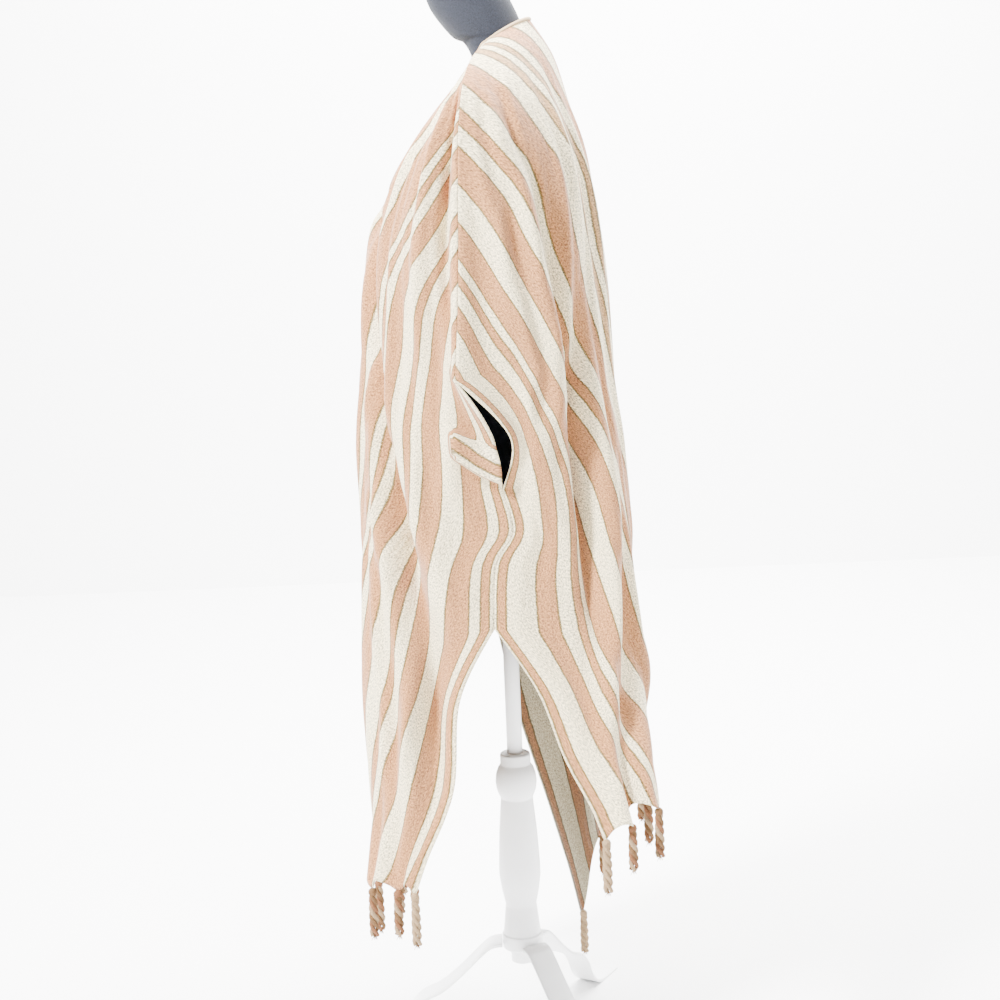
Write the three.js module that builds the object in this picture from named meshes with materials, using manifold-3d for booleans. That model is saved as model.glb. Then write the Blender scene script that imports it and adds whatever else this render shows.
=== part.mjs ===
// Striped woven cotton beach cover-up, worn on a limbless dress form that stands on a tripod.
// Millimetres, +Z up, the garment's front towards -Y, the wearer's left towards +X.
import * as THREE from 'three';
import Module from 'manifold-3d';

const wasm = await Module();
wasm.setup();

// Sizes of the cloth
const WALL = 2.0;             // thickness of the cloth wall
const SEAM_GAP = 1.3;         // how far each panel stops short of a seam line
const COLUMNS = 21;           // columns from the centre line to a side edge
const ROWS = 28;              // rows from the shoulder to the hem
const NECK_V_ROW = 5;         // the section at which the V of the neck ends
const BAND_R = 3;            // the neckline band is a narrow roll
const BAND_SIDES = 6;
const BAND_STEPS = 17;

// Sizes of the knotted tassels
const KNOT_R = 5.5;
const KNOT_TALL = 1.15;
const TASSEL_LONG = 62;        // below the knot
const TASSEL_UNEVEN = 6;
const LOCKS = 3;
const LOCK_R = 2.3;
const LOCK_ORBIT = 3.4;
const LOCK_TURNS = 0.7;
const TASSEL_STEPS = 3;
const LOCK_SIDES = 3;
const HEM_CLEAR = 0.3;
const HEM_DIP = 14;           // how far the hem is drawn down to a knot

// Sizes of the stand
const TURN = 18;              // sides of a turned piece
const LEG_WIDE = 38;
const LEG_THICK = 5;
const LEG_COUNT = 3;
const GAP = 0.3;

// Sections of the back panel, shoulder to hem. Centre: depth y and height z.
// near and far: the edge on the wearer's left and right as [x, y, z].
const BACK = [
  { y: 62, z: 1442, near: [66, 4, 1414], far: [66, 4, 1414] },
  { y: 90, z: 1396, near: [125, -18, 1388], far: [125, -18, 1388] },
  { y: 107, z: 1338, near: [178, -31, 1352], far: [178, -31, 1350] },
  { y: 123, z: 1268, near: [206, -39, 1290], far: [206, -38, 1286] },
  { y: 134, z: 1182, near: [215, -43, 1200], far: [215, -42, 1190] },
  { y: 140, z: 1080, near: [220, -47, 1100], far: [221, -44, 1084] },
  { y: 144, z: 960, near: [226, -56, 982], far: [226, -47, 955] },
  { y: 149, z: 890, near: [208, 10, 905], far: [212, 14, 876] },
  { y: 153, z: 826, near: [180, -2, 834], far: [184, -2, 800] },
  { y: 157, z: 762, near: [184, 10, 780], far: [190, 8, 736] },
  { y: 158, z: 706, near: [190, -14, 735], far: [196, -10, 670] },
  { y: 164, z: 606, near: [200, -20, 655], far: [204, -20, 560] },
  { y: 166, z: 556, near: [222, 32, 576], far: [206, 8, 420] },
  { y: 167, z: 508, near: [262, 64, 494], far: [180, 48, 286] },
  { y: 168, z: 470, near: [300, 108, 416], far: [102, 90, 150] },
];

// Sections of the front panel. v is the neck edge, or the centre line once the V has closed.
const FRONT = [
  { v: [62, -4, 1409], near: [69, 1, 1411.5], far: [69, 1, 1411.5] },
  { v: [64, -30, 1367], near: [125, -18, 1388], far: [125, -18, 1388] },
  { v: [60, -68, 1324], near: [178, -31, 1352], far: [178, -31, 1350] },
  { v: [47, -110, 1266], near: [206, -39, 1290], far: [206, -38, 1286] },
  { v: [28, -139, 1213], near: [215, -43, 1200], far: [215, -42, 1190] },
  { v: [0, -164, 1154], near: [220, -47, 1100], far: [221, -44, 1084] },
  { v: [0, -176, 1010], near: [226, -56, 982], far: [226, -47, 955] },
  { v: [0, -180, 930], near: [194, -7, 890], far: [208, -66, 868] },
  { v: [0, -180, 862], near: [180, -2, 834], far: [184, -2, 800] },
  { v: [0, -180, 796], near: [184, 10, 780], far: [190, 8, 736] },
  { v: [0, -179, 736], near: [190, -14, 735], far: [196, -10, 670] },
  { v: [0, -178, 620], near: [200, -20, 655], far: [204, -20, 560] },
  { v: [0, -176, 510], near: [216, -68, 566], far: [206, -88, 450] },
  { v: [0, -173, 410], near: [244, -82, 450], far: [205, -116, 370] },
  { v: [0, -170, 330], near: [268, -134, 344], far: [196, -132, 320] },
];

// Sections at which a side edge turns: sleeve end, foot of the armhole, top of the slit.
const EDGE_BREAKS = [0, 6, 8, 11, 14];

// The cloth away from an edge follows that edge only on average over these sections.
const GUIDE = [-2.2, -1.65, -1.1, -0.55, 0, 0.55, 1.1, 1.65, 2.2];

// The sagging fold at the front of the near armhole: the sections it starts and stops at, how
// much higher its lip is at its inner end, that end's place and how far it stands out.
const SAG = { start: 6.8, stop: 7.68, lift: 0.3, inner: 0.9, out: 12, soft: 0.05 };
const SLEEVE_LAP = 5;         // how far the front of a sleeve's open end laps back over it
const FOLD_FADE = 0.06;       // the folds die out this close to a side edge

// Main folds. wide: half width of the fold as a share of the half panel; line: its course,
// each entry a section, the place across the half panel (0 centre, 1 side edge) and how far
// the fold stands out (or in) there.
const FOLDS = [
  { panel: 'back', side: 1, wide: 0.14, line: [
    [2, 0.12, 0], [5, 0.31, 10], [7.3, 0.36, 14], [11, 0.44, 18], [13.5, 0.7, 28], [14, 0.72, 30],
  ] },
  { panel: 'back', side: 1, wide: 0.045, line: [
    [2, 0.88, 0], [3, 0.86, 14], [4.2, 0.79, 17], [5.5, 0.74, 20], [6.4, 0.76, 18],
    [7.6, 0.86, 0],
  ] },
  { panel: 'back', side: 1, wide: 0.04, line: [
    [2, 0.81, 0], [3, 0.79, -11], [4.2, 0.72, -13], [5.5, 0.66, -10], [6.4, 0.69, 0],
  ] },
  { panel: 'back', side: 1, wide: 0.035, line: [
    [3, 0.95, 0], [3.8, 0.92, 9], [4.7, 0.87, 12], [6, 0.83, 12], [7, 0.9, 0],
  ] },
  { panel: 'back', side: 1, wide: 0.045, line: [
    [4.6, 0.55, 0], [5.5, 0.57, -16], [6.2, 0.64, -28], [7.7, 0.7, -32], [8.6, 0.73, -32],
    [10.4, 0.77, -22], [11.8, 0.79, 0],
  ] },
  { panel: 'back', side: 1, wide: 0.07, line: [
    [5, 0.44, 0], [6.4, 0.54, 12], [8.6, 0.6, 16], [10.4, 0.64, 12], [12, 0.66, 0],
  ] },
  { panel: 'back', side: 1, wide: 0.045, line: [
    [8.5, 0.62, 0], [10.2, 0.67, 12], [11.8, 0.76, 15], [13.6, 0.88, 13], [14, 0.89, 12],
  ] },
  { panel: 'back', side: 1, wide: 0.05, line: [
    [9.6, 0.55, 0], [11.8, 0.64, -14], [13.6, 0.79, -16], [14, 0.8, -16],
  ] },
  { panel: 'back', side: 1, wide: 0.1, line: [
    [4, 0, 0], [8, 0.08, -14], [14, 0.3, -24],
  ] },
  { panel: 'back', side: -1, wide: 0.14, line: [
    [2, 0.14, 0], [5, 0.34, 12], [8, 0.4, 16], [11, 0.46, 20], [14, 0.62, 26],
  ] },
  { panel: 'back', side: -1, wide: 0.05, line: [
    [2, 0.86, 0], [3.4, 0.82, 14], [5.5, 0.76, 18], [7.8, 0.8, 0],
  ] },
  { panel: 'back', side: -1, wide: 0.05, line: [
    [3.6, 0.7, 0], [5.5, 0.64, -20], [8, 0.66, -30], [10.6, 0.72, -24], [14, 0.8, -12],
  ] },
  { panel: 'back', side: -1, wide: 0.07, line: [
    [8.5, 0.8, 0], [10.6, 0.84, 14], [14, 0.9, 18],
  ] },
  { panel: 'back', side: -1, wide: 0.08, line: [
    [4, 0.1, 0], [8, 0.14, -16], [14, 0.3, -22],
  ] },
  { panel: 'front', side: 1, wide: 0.15, line: [
    [4, 0.1, 0], [6, 0.25, 7], [8.6, 0.4, 17], [11, 0.54, 26], [12, 0.6, 30], [14, 0.68, 38],
  ] },
  { panel: 'front', side: 1, wide: 0.04, line: [
    [1.8, 0.93, 0], [2.7, 0.93, -13], [4.5, 0.925, -18], [5.2, 0.93, -13], [6, 0.93, -2],
    [6.3, 0.93, 0],
  ] },
  { panel: 'front', side: 1, wide: 0.05, line: [
    [3.6, 0.14, 0], [4.6, 0.32, -12], [6.2, 0.5, -20], [8.6, 0.66, -26], [10.4, 0.8, -26],
    [12, 0.9, -24], [13.4, 0.95, 0],
  ] },
  { panel: 'front', side: 1, wide: 0.05, line: [
    [4.2, 0.18, 0], [6.2, 0.42, 8], [8.6, 0.57, 14], [10.4, 0.71, 18], [12, 0.81, 20],
    [13.6, 0.88, 10], [14, 0.9, 6],
  ] },
  { panel: 'front', side: 1, wide: 0.07, line: [
    [5.4, 0.62, 0], [7, 0.7, 10], [9, 0.8, 16], [10.4, 0.9, 14], [11.4, 0.95, 0],
  ] },
  { panel: 'front', side: 1, wide: 0.03, line: [
    [8, 0.46, 0], [8.6, 0.5, 6], [12, 0.7, 8], [14, 0.79, 8],
  ] },
  { panel: 'front', side: 1, wide: 0.1, line: [
    [4.6, 0, 0], [8, 0.1, -12], [14, 0.3, -26],
  ] },
  { panel: 'front', side: -1, wide: 0.15, line: [
    [4, 0.12, 0], [6, 0.26, 12], [9, 0.4, 20], [12, 0.52, 26], [14, 0.58, 32],
  ] },
  { panel: 'front', side: -1, wide: 0.045, line: [
    [1.8, 0.93, 0], [2.8, 0.93, -12], [5, 0.92, -16], [6.6, 0.93, 0],
  ] },
  { panel: 'front', side: -1, wide: 0.05, line: [
    [3.8, 0.2, 0], [5.4, 0.44, -14], [8, 0.62, -26], [10.5, 0.76, -24], [13.4, 0.84, -10],
  ] },
  { panel: 'front', side: -1, wide: 0.07, line: [
    [6, 0.74, 0], [8, 0.8, 14], [11, 0.88, 16], [13.5, 0.93, 8], [14, 0.93, 8],
  ] },
  { panel: 'front', side: -1, wide: 0.1, line: [
    [4.6, 0, 0], [8, 0.1, -12], [14, 0.28, -24],
  ] },
];

// Knots along half a hem, as shares of the half width; the one on the centre line is extra.
const KNOTS = [1.0, 0.857, 0.714, 0.571, 0.429, 0.286, 0.143];

// Sections of the dress form's body: height, middle depth, half width, half depth.
const BODY = [
  { z: 742, y: -4, wide: 118, deep: 84 },
  { z: 760, y: -4, wide: 132, deep: 96 },
  { z: 840, y: -6, wide: 134, deep: 100 },
  { z: 960, y: -10, wide: 116, deep: 88 },
  { z: 1040, y: -16, wide: 120, deep: 92 },
  { z: 1140, y: -24, wide: 138, deep: 112 },
  { z: 1200, y: -18, wide: 148, deep: 108 },
  { z: 1270, y: 0, wide: 158, deep: 88 },
  { z: 1330, y: 18, wide: 146, deep: 66 },
  { z: 1368, y: 18, wide: 108, deep: 49.9 },
  { z: 1392, y: 22, wide: 57, deep: 41 },
  { z: 1417, y: 13, wide: 50, deep: 42 },
  { z: 1427, y: 4, wide: 50, deep: 50 },
  { z: 1462, y: -16, wide: 51, deep: 56 },
  { z: 1498, y: -31, wide: 51, deep: 53 },
];

const BODY_POWER = 2.3;       // 2 is an ellipse, more is squarer
const COLORS = {
  cloth: 0xe6cdb6, band: 0xe9dcc4, yarn: 0xd9a986, body: 0x565a6b, paint: 0xf1f1ef,
};

function material(color, roughness, metalness = 0) {
  return new THREE.MeshStandardMaterial({ color, roughness, metalness });
}

// Smooth curve through a table's values, at any place t between its rows.
function along(values, t) {
  const last = values.length - 1;
  const at = Math.min(Math.max(t, 0), last);
  const i = Math.min(Math.floor(at), last - 1);
  const f = at - i;
  const p = [i - 1, i, i + 1, i + 2].map((k) => values[Math.min(Math.max(k, 0), last)]);
  return 0.5 * (2 * p[1] + (p[2] - p[0]) * f
    + (2 * p[0] - 5 * p[1] + 4 * p[2] - p[3]) * f * f
    + (3 * p[1] - p[0] - 3 * p[2] + p[3]) * f * f * f);
}

// The same, but turning a corner at each of the breaks.
function alongEdge(values, t) {
  const k = EDGE_BREAKS.findIndex((end, i) => i > 0 && t <= end);
  const from = EDGE_BREAKS[k < 0 ? EDGE_BREAKS.length - 2 : k - 1];
  const to = EDGE_BREAKS[k < 0 ? EDGE_BREAKS.length - 1 : k];
  return along(values.slice(from, to + 1), t - from);
}

const mix = (a, b, f) => a + (b - a) * f;
const smooth = (f) => { const c = Math.min(Math.max(f, 0), 1); return c * c * (3 - 2 * c); };

// A fold's place and height at section t, straight between the entries of its line.
function onLine(line, t) {
  const last = line.length - 1;
  if (t <= line[0][0]) return { place: line[0][1], out: 0 };
  if (t >= line[last][0]) return { place: line[last][1], out: line[last][2] };
  const i = line.findIndex((entry, k) => k > 0 && t <= entry[0]);
  const f = (t - line[i - 1][0]) / (line[i][0] - line[i - 1][0]);
  return { place: mix(line[i - 1][1], line[i][1], f), out: mix(line[i - 1][2], line[i][2], f) };
}

// How far the folds of a half panel stand out at (q, t).
function foldDepth(panel, side, q, t) {
  let out = 0;
  for (const f of FOLDS) {
    if (f.panel !== panel || f.side !== side) continue;
    const fold = onLine(f.line, t);
    const across = (q - fold.place) / f.wide;
    out += fold.out * Math.exp(-across * across);
  }
  out *= smooth((1 - q) / FOLD_FADE) * smooth((t - 0.6) / 0.8);
  if (panel === 'front' && side > 0) out += SAG.out * sagShare(q, t);
  return out;
}

// 1 on the sagging fold at the front of the near armhole, 0 elsewhere.
function sagShare(q, t) {
  const inwards = Math.min(Math.max((1 - q) / (1 - SAG.inner), 0), 1);
  const lip = SAG.stop - SAG.lift * inwards ** 1.6;
  return smooth((q - SAG.inner) / SAG.soft) * smooth((t - SAG.start) / 0.4)
    * (1 - smooth((t - lip) / 0.4));
}

// A point of a panel without its folds. q runs from the centre to the side edge.
function basePoint(panel, side, q, t) {
  const rows = panel === 'back' ? BACK : FRONT;
  const key = side > 0 ? 'near' : 'far';
  const turns = 0.88 - 0.14 * smooth((t - 8.5) / 2);
  const corner = smooth((q - turns) / (1 - turns));
  const eased = smooth((t - 4) / 2) * smooth((15 - t) / 3);
  const edge = [0, 1, 2].map((k) => {
    const values = rows.map((r) => r[key][k]);
    const around = GUIDE.reduce((sum, d) => sum + along(values, t + d), 0) / GUIDE.length;
    return mix(mix(along(values, t), around, eased), alongEdge(values, t), corner);
  });
  if (panel === 'front') {
    edge[1] += SLEEVE_LAP * corner * Math.sin(Math.PI * Math.min(Math.max(t - 6, 0), 1));
  }
  const start = panel === 'back'
    ? [0, along(rows.map((r) => r.y), t), along(rows.map((r) => r.z), t)]
    : [0, 1, 2].map((k) => along(rows.map((r) => r.v[k]), t));
  if (panel === 'front' && t >= NECK_V_ROW) start[0] = 0;
  const sx = mix(q, Math.sin(q * Math.PI / 2), 0.72);
  const sy = q ** (1.7 + 1.1 * smooth((t - 1) / 3) + 1.4 * smooth((t - 5) / 6));
  const sz = q ** mix(2, panel === 'back' && side > 0 ? 1.2 : 3.2, smooth((t - 8) / 5));
  return new THREE.Vector3(
    side * mix(start[0], edge[0], sx), mix(start[1], edge[1], sy), mix(start[2], edge[2], sz));
}

// The finished point: the base moved out by the folds and drawn down to the hem's knots.
function clothPoint(panel, side, q, t) {
  const p = basePoint(panel, side, q, t);
  const step = 0.01;
  const before = basePoint(panel, side, Math.max(q - step, 0), t);
  const after = basePoint(panel, side, Math.min(q + step, 1), t);
  const away = panel === 'back' ? 1 : -1;
  const normal = new THREE.Vector3(after.y - before.y, before.x - after.x, 0)
    .multiplyScalar(-side * away).normalize();
  p.addScaledVector(normal, foldDepth(panel, side, q, t));
  const last = BACK.length - 1;
  const near = Math.min(q, ...KNOTS.map((k) => Math.abs(q - k))) / (KNOTS[1] - KNOTS[2]) * 2;
  p.z -= HEM_DIP * (1 - smooth(near)) * smooth((t - last + 0.5) / 0.5);
  return p;
}

// A point of a panel's grid, whose last column stops short of the seam line.
function panelPoint(panel, side, column, t) {
  const p = clothPoint(panel, side, column / COLUMNS, t);
  if (column === COLUMNS) {
    const inner = clothPoint(panel, side, 1 - 1 / COLUMNS, t);
    p.addScaledVector(inner.sub(p).normalize(), SEAM_GAP);
  }
  return p;
}

// Turns a sheet of points and triangles into a closed wall.
function wall(points, triangles, thick) {
  const normals = points.map(() => new THREE.Vector3());
  const e1 = new THREE.Vector3();
  const e2 = new THREE.Vector3();
  for (const [a, b, c] of triangles) {
    e1.subVectors(points[b], points[a]);
    e2.subVectors(points[c], points[a]);
    const n = e1.clone().cross(e2);
    for (const i of [a, b, c]) normals[i].add(n);
  }
  const count = points.length;
  const all = [];
  for (const s of [0.5, -0.5]) {
    points.forEach((p, i) => all.push(p.clone().addScaledVector(
      normals[i].clone().normalize(), s * thick)));
  }
  const faces = [];
  const edges = new Map();
  for (const [a, b, c] of triangles) {
    faces.push(a, b, c, a + count, c + count, b + count);
    for (const [i, j] of [[a, b], [b, c], [c, a]]) {
      const back = `${j},${i}`;
      if (edges.has(back)) edges.delete(back); else edges.set(`${i},${j}`, [i, j]);
    }
  }
  for (const [i, j] of edges.values()) {
    faces.push(j, i, i + count, j, i + count, j + count);
  }
  return geometryFrom(all, faces);
}

function geometryFrom(points, faces) {
  const geometry = new THREE.BufferGeometry();
  geometry.setAttribute('position', new THREE.Float32BufferAttribute(
    points.flatMap((p) => [p.x, p.y, p.z]), 3));
  geometry.setIndex(faces);
  geometry.computeVertexNormals();
  return geometry;
}

// One panel of cloth, both halves, with the V of the neck cut open at the front.
function panelGeometry(panel) {
  const points = [];
  const triangles = [];
  const last = BACK.length - 1;
  const id = {};
  for (let r = 0; r <= ROWS; r++) {
    const t = last * r / ROWS;
    for (let c = -COLUMNS; c <= COLUMNS; c++) {
      const sides = c === 0 ? [-1, 1] : [Math.sign(c)];
      const split = c === 0 && panel === 'front' && t < NECK_V_ROW - 0.01;
      for (const side of sides) {
        if (c === 0 && !split && side > 0) { id[`${r},0,1`] = id[`${r},0,-1`]; continue; }
        const p = panelPoint(panel, side, Math.abs(c), t);
        id[`${r},${c},${side}`] = points.length;
        points.push(p);
      }
    }
  }
  const at = (r, c, side) => id[`${r},${c},${side}`];
  const flip = panel === 'front';
  for (let r = 0; r < ROWS; r++) {
    for (let c = -COLUMNS; c < COLUMNS; c++) {
      const side = c < 0 ? -1 : 1;
      const a = at(r, c, side);
      const b = at(r, c + 1, side);
      const d = at(r + 1, c, side);
      const e = at(r + 1, c + 1, side);
      const quad = [[a, d, b], [b, d, e]];
      for (const tri of quad) triangles.push(flip ? tri : [tri[0], tri[2], tri[1]]);
    }
  }
  return wall(points, triangles, WALL);
}

// The middle of the rolled band, just off the neck's edge: round the back, then both sides
// of the V, whose foot it rounds.
function neckLine() {
  const off = BAND_R + WALL / 2 + 3 * GAP;
  const rowStep = (BACK.length - 1) / ROWS;
  const beside = (panel, side, q, t, inQ, inT) => {
    const row = Math.floor(t / rowStep) * rowStep;
    const p = clothPoint(panel, side, q, row)
      .lerp(clothPoint(panel, side, q, row + rowStep), (t - row) / rowStep);
    const away = p.clone().sub(clothPoint(panel, side, inQ, inT)).normalize();
    return p.addScaledVector(away, off);
  };
  const half = (side) => {
    const out = [];
    for (let i = 0; i <= BAND_STEPS; i++) {
      const t = NECK_V_ROW * (1 - 0.985 * i / BAND_STEPS);
      const p = beside('front', side, 0, t, 0.06, t + 0.02);
      if (p.x * side > BAND_R) out.push(p);
    }
    return out;
  };
  const back = [];
  for (let i = 2; i <= BAND_STEPS - 2; i++) {
    const s = 1 - 2 * i / BAND_STEPS;
    back.push(beside('back', Math.sign(s) || 1, Math.abs(s), 0, Math.abs(s), 0.06));
  }
  return [...half(1), ...back, ...half(-1).reverse()];
}

function bandGeometry() {
  const curve = new THREE.CatmullRomCurve3(neckLine(), true, 'centripetal');
  const shape = new THREE.Shape();
  for (let i = 0; i < BAND_SIDES; i++) {
    const a = 2 * Math.PI * i / BAND_SIDES;
    const x = BAND_R * Math.cos(a);
    const y = BAND_R * Math.sin(a);
    if (i === 0) shape.moveTo(x, y); else shape.lineTo(x, y);
  }
  shape.closePath();
  return new THREE.ExtrudeGeometry(shape, {
    steps: BAND_STEPS * 3, extrudePath: curve, bevelEnabled: false,
  });
}

// Booleans
function toManifold(geometry) {
  const g = geometry.index ? geometry.toNonIndexed() : geometry;
  const pos = g.attributes.position;
  const keys = new Map();
  const verts = [];
  const tris = [];
  for (let i = 0; i < pos.count; i += 3) {
    const ids = [];
    for (let k = 0; k < 3; k++) {
      const v = [pos.getX(i + k), pos.getY(i + k), pos.getZ(i + k)];
      const key = v.map((n) => Math.round(n * 1e4)).join();
      if (!keys.has(key)) { keys.set(key, verts.length / 3); verts.push(...v); }
      ids.push(keys.get(key));
    }
    if (new Set(ids).size === 3) tris.push(...ids);
  }
  return new wasm.Manifold(new wasm.Mesh({
    numProp: 3, vertProperties: new Float32Array(verts), triVerts: new Uint32Array(tris),
  }));
}

function fromManifold(solid) {
  const mesh = solid.getMesh();
  const geometry = new THREE.BufferGeometry();
  geometry.setAttribute('position', new THREE.Float32BufferAttribute(mesh.vertProperties, 3));
  geometry.setIndex([...mesh.triVerts]);
  geometry.computeVertexNormals();
  return geometry;
}

function union(geometries) {
  return fromManifold(geometries.map(toManifold).reduce((a, b) => a.add(b)));
}

// Where a knot hangs: its round top just clears the hem, which runs straight from the knot's
// column of the panel to the columns beside it.
function hemPoint(panel, side, share) {
  const last = BACK.length - 1;
  const column = Math.round(share * COLUMNS);
  const top = panelPoint(panel, side, column, last);
  const start = top.clone();
  for (const step of [-1, 1]) {
    const other = column + step;
    if (other > COLUMNS) continue;
    const beside = panelPoint(panel, other < 0 ? -side : side, Math.abs(other), last);
    const run = Math.hypot(beside.x - start.x, beside.y - start.y);
    for (let off = 1; off < KNOT_R; off++) {
      const round = KNOT_TALL * (KNOT_R - Math.sqrt(KNOT_R ** 2 - off ** 2));
      top.z = Math.min(top.z, mix(start.z, beside.z, off / run) + round);
    }
  }
  top.z -= HEM_CLEAR;
  return top;
}

// A knot with twisted locks of yarn below it.
function tasselGeometry(top, length, turn) {
  const knot = new THREE.SphereGeometry(KNOT_R, 6, 4);
  knot.rotateX(Math.PI / 2);
  knot.scale(1, 1, KNOT_TALL);
  knot.translate(top.x, top.y, top.z - KNOT_R * KNOT_TALL);
  const pieces = [knot];
  for (let k = 0; k < LOCKS; k++) {
    const pts = [];
    for (let i = 0; i <= TASSEL_STEPS; i++) {
      const f = i / TASSEL_STEPS;
      const a = turn + 2 * Math.PI * (k / LOCKS + LOCK_TURNS * f);
      const orbit = LOCK_ORBIT * (1 + 0.25 * f);
      pts.push(new THREE.Vector3(
        top.x + orbit * Math.cos(a), top.y + orbit * Math.sin(a),
        top.z - KNOT_R - f * length));
    }
    const shape = new THREE.Shape();
    for (let i = 0; i < LOCK_SIDES; i++) {
      const a = 2 * Math.PI * i / LOCK_SIDES;
      const [x, y] = [LOCK_R * Math.cos(a), LOCK_R * Math.sin(a)];
      if (i) shape.lineTo(x, y); else shape.moveTo(x, y);
    }
    shape.closePath();
    pieces.push(new THREE.ExtrudeGeometry(shape, {
      steps: TASSEL_STEPS, bevelEnabled: false,
      extrudePath: new THREE.CatmullRomCurve3(pts),
    }));
  }
  return union(pieces);
}

// The dress form's body, with its neck leaning forward.
function bodyGeometry() {
  const points = [];
  const faces = [];
  for (const row of BODY) {
    for (let i = 0; i < TURN; i++) {
      const a = 2 * Math.PI * i / TURN;
      const power = 2 / BODY_POWER;
      const c = Math.sign(Math.cos(a)) * Math.abs(Math.cos(a)) ** power;
      const s = Math.sign(Math.sin(a)) * Math.abs(Math.sin(a)) ** power;
      points.push(new THREE.Vector3(row.wide * c, row.y + row.deep * s, row.z));
    }
  }
  const rings = BODY.length;
  for (let r = 0; r < rings - 1; r++) {
    for (let i = 0; i < TURN; i++) {
      const j = (i + 1) % TURN;
      const a = r * TURN + i;
      const b = r * TURN + j;
      faces.push(a, b, b + TURN, a, b + TURN, a + TURN);
    }
  }
  const low = points.length;
  points.push(new THREE.Vector3(0, BODY[0].y, BODY[0].z));
  points.push(new THREE.Vector3(0, BODY[rings - 1].y, BODY[rings - 1].z));
  for (let i = 0; i < TURN; i++) {
    const j = (i + 1) % TURN;
    const top = (rings - 1) * TURN;
    faces.push(low, j, i, low + 1, top + i, top + j);
  }
  return geometryFrom(points, faces);
}

function turned(profile) {
  const g = new THREE.LatheGeometry(profile.map(([r, z]) => new THREE.Vector2(r, z)), TURN);
  g.rotateX(Math.PI / 2);
  return g;
}

const POST = [
  [0, 118], [17, 118], [17, 138.5], [27, 138.5], [28.7, 141], [28.7, 159], [26.6, 161],
  [22.4, 201], [26, 222], [29.5, 246], [29.5, 262], [27, 312], [23, 358],
  [25.6, 367], [28.3, 375], [29.4, 385], [28.3, 396], [25.2, 405], [21.6, 410], [21.6, 424],
  [20, 426], [0, 426],
];

function postGeometry() { return turned(POST); }

function poleGeometry() {
  return turned([[0, 426 + GAP], [11, 426 + GAP], [11, BODY[0].z - GAP], [0, BODY[0].z - GAP]]);
}

function capGeometry() {
  const top = BODY[BODY.length - 1];
  const g = turned([[0, 0], [46, 0], [46, 7], [40, 11], [14, 15], [0, 16]]);
  g.translate(0, top.y, top.z + GAP);
  return g;
}

// A bent strap leg, from the ring of the post out and down to its foot.
const LEG_PATH = [
  [29.2, 150], [44, 148], [58, 138], [92, 106], [120, 84], [146, 72], [166, 52], [180, 26],
  [200, 8], [232, 2.5], [262, 2.5],
];

function legGeometry(angle) {
  const shape = new THREE.Shape();
  const curve = new THREE.SplineCurve(LEG_PATH.map(([r, z]) => new THREE.Vector2(r, z)));
  const steps = 14;
  const upper = [];
  const lower = [];
  for (let i = 0; i <= steps; i++) {
    const p = curve.getPoint(i / steps);
    const d = curve.getTangent(i / steps);
    upper.push([p.x - d.y * LEG_THICK / 2, p.y + d.x * LEG_THICK / 2]);
    lower.push([p.x + d.y * LEG_THICK / 2, p.y - d.x * LEG_THICK / 2]);
  }
  [...upper, ...lower.reverse()].forEach(([x, y], i) => {
    const flat = Math.max(y, 0);
    if (i) shape.lineTo(x, flat); else shape.moveTo(x, flat);
  });
  shape.closePath();
  const g = new THREE.ExtrudeGeometry(shape, {
    depth: LEG_WIDE, bevelEnabled: false, steps: 1,
  });
  g.translate(0, 0, -LEG_WIDE / 2);
  g.rotateX(Math.PI / 2);
  g.rotateZ(angle);
  return g;
}

const group = new THREE.Group();

function addPiece(name, geometry, mat) {
  const mesh = new THREE.Mesh(geometry, mat);
  mesh.name = name;
  group.add(mesh);
}

const cloth = material(COLORS.cloth, 0.9);
addPiece('front_panel', panelGeometry('front'), cloth);
addPiece('back_panel', panelGeometry('back'), cloth);
addPiece('neckline_band', bandGeometry(), material(COLORS.band, 0.9));

const yarn = material(COLORS.yarn, 0.95);
const lastRow = BACK.length - 1;
for (const panel of ['front', 'back']) {
  let number = 1;
  for (const side of [1, -1]) {
    for (const share of side > 0 ? [...KNOTS, 0] : KNOTS) {
      const top = hemPoint(panel, side, share);
      const length = TASSEL_LONG + TASSEL_UNEVEN * Math.sin(number * 2.1);
      addPiece(`tassel_${panel}_${number}`, tasselGeometry(top, length, number), yarn);
      number += 1;
    }
  }
}

addPiece('form_body', bodyGeometry(), material(COLORS.body, 0.85));
const paint = material(COLORS.paint, 0.45);
addPiece('form_neck_cap', capGeometry(), paint);
addPiece('form_pole', poleGeometry(), paint);
addPiece('form_post', postGeometry(), paint);
for (let k = 0; k < LEG_COUNT; k++) {
  addPiece(`form_leg_${k + 1}`, legGeometry(-Math.PI / 2 + 2 * Math.PI * k / LEG_COUNT), paint);
}

const box = new THREE.Box3().setFromObject(group);
const centre = box.getCenter(new THREE.Vector3());
for (const mesh of group.children) mesh.geometry.translate(-centre.x, -centre.y, -box.min.z);

export default group;
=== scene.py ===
import math

import bmesh
import bpy
import numpy as np
from mathutils import Matrix, Vector


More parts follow.
